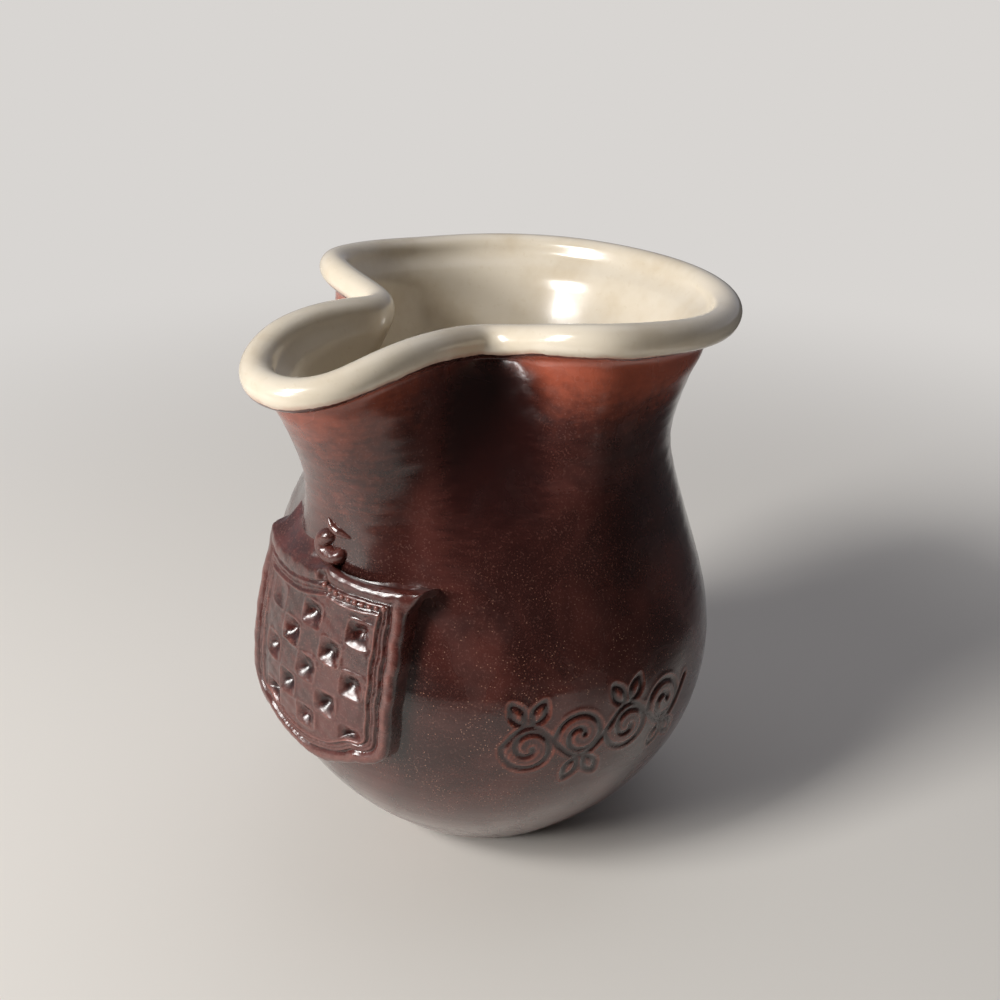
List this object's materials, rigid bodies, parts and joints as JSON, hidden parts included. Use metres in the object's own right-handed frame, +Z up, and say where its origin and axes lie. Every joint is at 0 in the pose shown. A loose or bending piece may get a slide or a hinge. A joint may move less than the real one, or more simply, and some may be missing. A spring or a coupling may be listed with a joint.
{
  "type": "redware pitcher",
  "caption": "Small hand-thrown brown glazed pitcher with a pinched spout, a rolled cream rim and a raised chequered shield under the spout.",
  "frame": {"origin": "centre of the flat foot, on the surface that the pitcher stands on", "axes": "+Z up, the spout and the shield towards -Y, mirror halves towards +X and -X"},
  "size_m": [0.1008, 0.1116, 0.125],
  "materials": {
    "glazed_clay": "glossy dark maroon brown glaze outside, orange brown where it is thin under the rim, cream glaze on the rim and inside"
  },
  "bodies": {
    "root": {"pitcher": "glazed_clay"}
  },
  "joints": []
}
